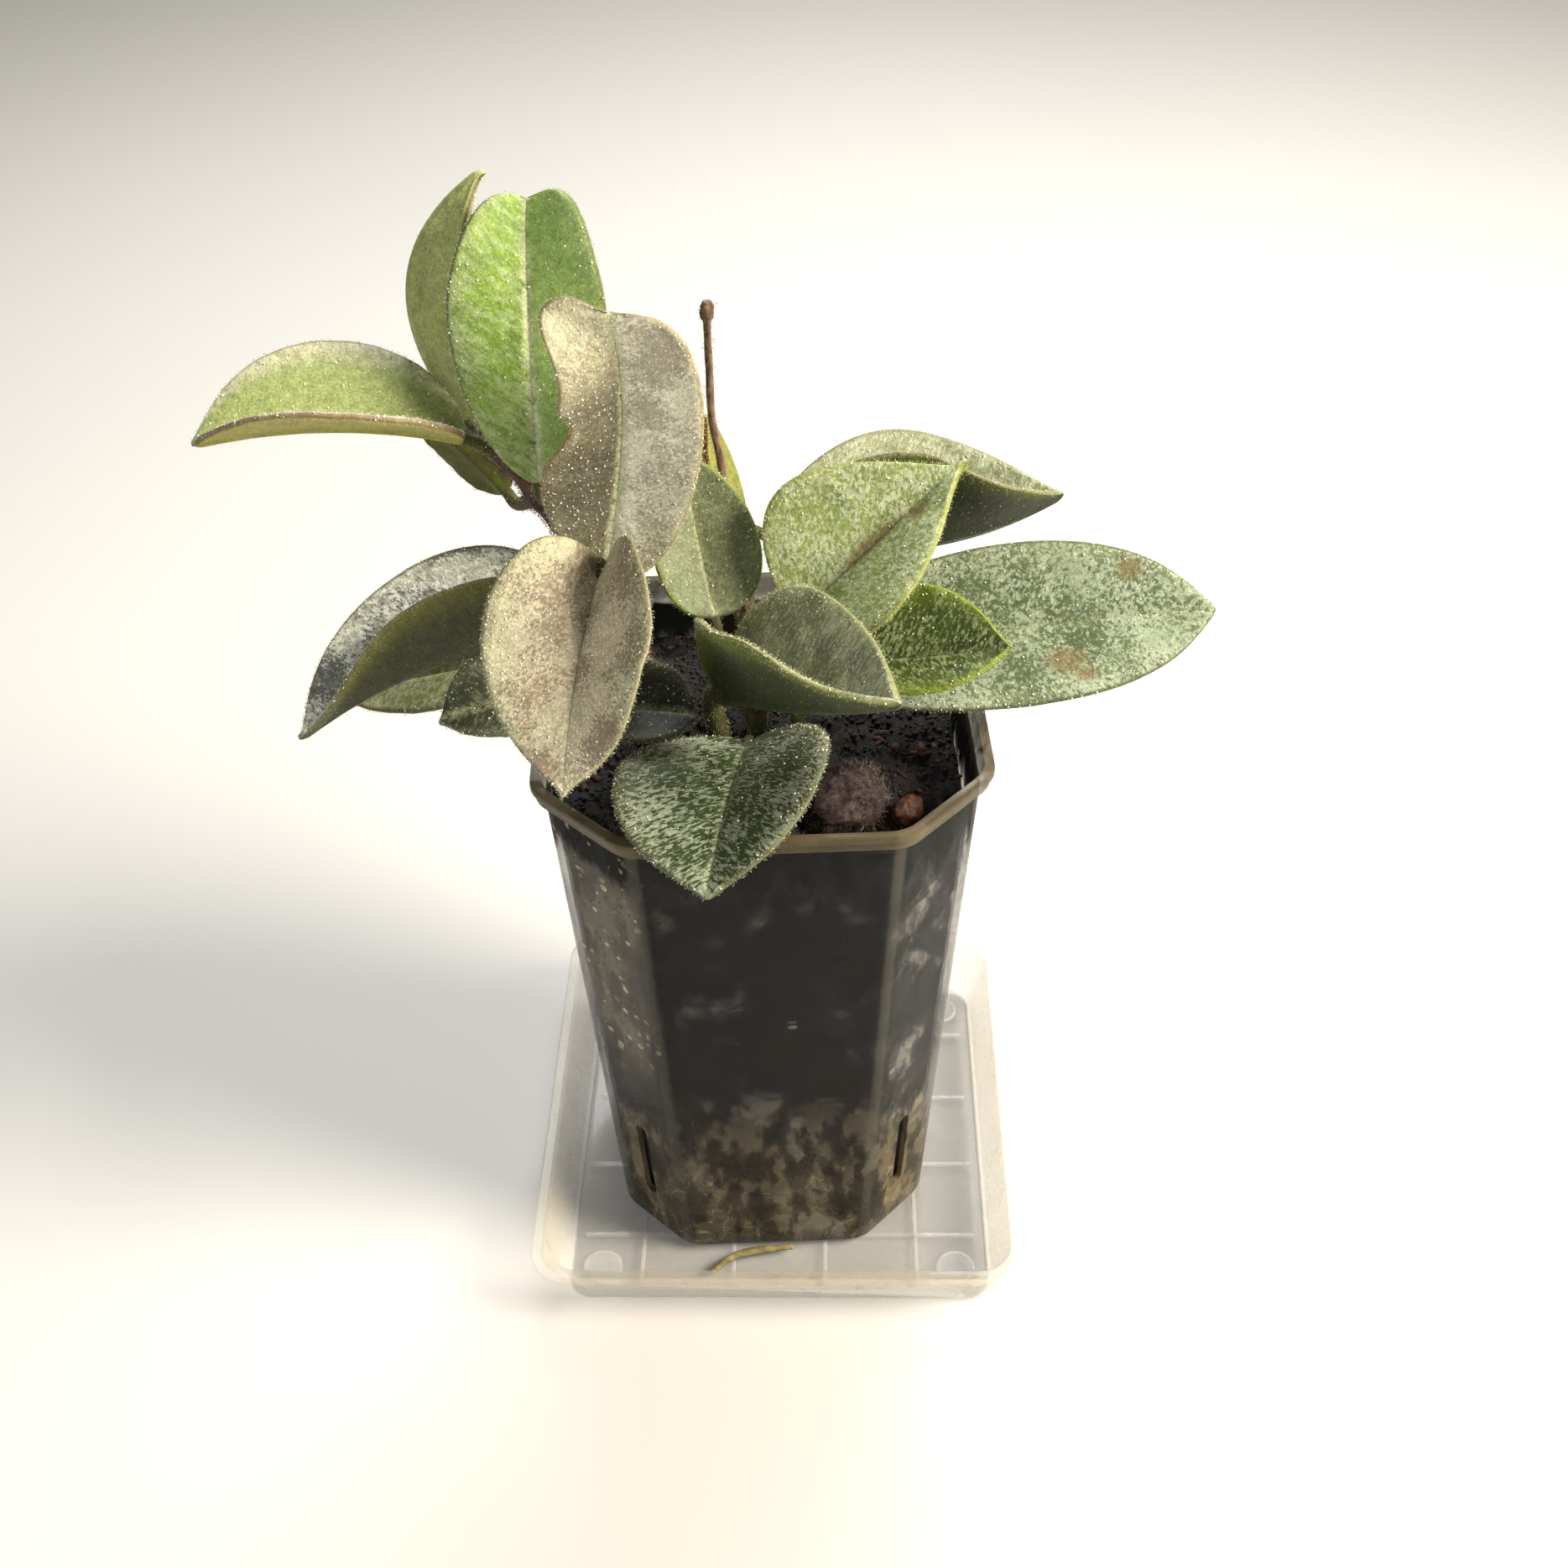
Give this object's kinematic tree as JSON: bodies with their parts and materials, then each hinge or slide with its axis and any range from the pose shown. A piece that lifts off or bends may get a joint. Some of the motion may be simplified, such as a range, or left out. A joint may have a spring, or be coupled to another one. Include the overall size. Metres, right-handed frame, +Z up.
{
  "type": "potted hoya carnosa",
  "caption": "Young wax plant with splashed, folded leaves on thin stems in a clear tapered square pot, standing in a clear square drip tray.",
  "frame": {"origin": "on the drip tray's underside, under the pot's axis", "axes": "+Z up along the pot's axis; the picture's view is from -Y; +X to the viewer's right"},
  "size_m": [0.1246, 0.0794, 0.1607],
  "materials": {
    "tray_plastic": "clear gloss",
    "pot_plastic": "clear gloss, dull with mineral marks",
    "soil": "rough damp potting mix",
    "fibre": "fuzzy",
    "stone": "rough stone",
    "brown_stem": "downy bark",
    "green_stem": "satin",
    "root": "dull",
    "leaf_silver": "silver-splashed, satin",
    "leaf_tan": "downy, speckled",
    "leaf_green": "waxy, satin",
    "leaf_dark": "waxy, flecked"
  },
  "bodies": {
    "root": {"drip_tray": "tray_plastic", "pot": "pot_plastic", "soil": "soil", "fibre_clump": "fibre", "pebble": "stone", "main_stem": "brown_stem", "side_stem": "green_stem", "bare_shoot": "brown_stem", "loose_root": "root", "leaf_arching_left": "leaf_silver", "leaf_upright_side": "leaf_green", "leaf_upright_broad": "leaf_green", "leaf_behind": "leaf_dark", "leaf_centre_tall": "leaf_tan", "leaf_front_left": "leaf_tan", "leaf_left_high": "leaf_silver", "leaf_left_mid": "leaf_green", "leaf_low_left": "leaf_dark", "leaf_low_mid": "leaf_dark", "leaf_back_grey": "leaf_silver", "leaf_back_edge": "leaf_green", "leaf_right_broad": "leaf_silver", "leaf_right_arch": "leaf_silver", "leaf_right_large": "leaf_silver", "leaf_right_small": "leaf_green", "leaf_front_right": "leaf_dark", "leaf_front_low": "leaf_dark"}
  },
  "joints": []
}
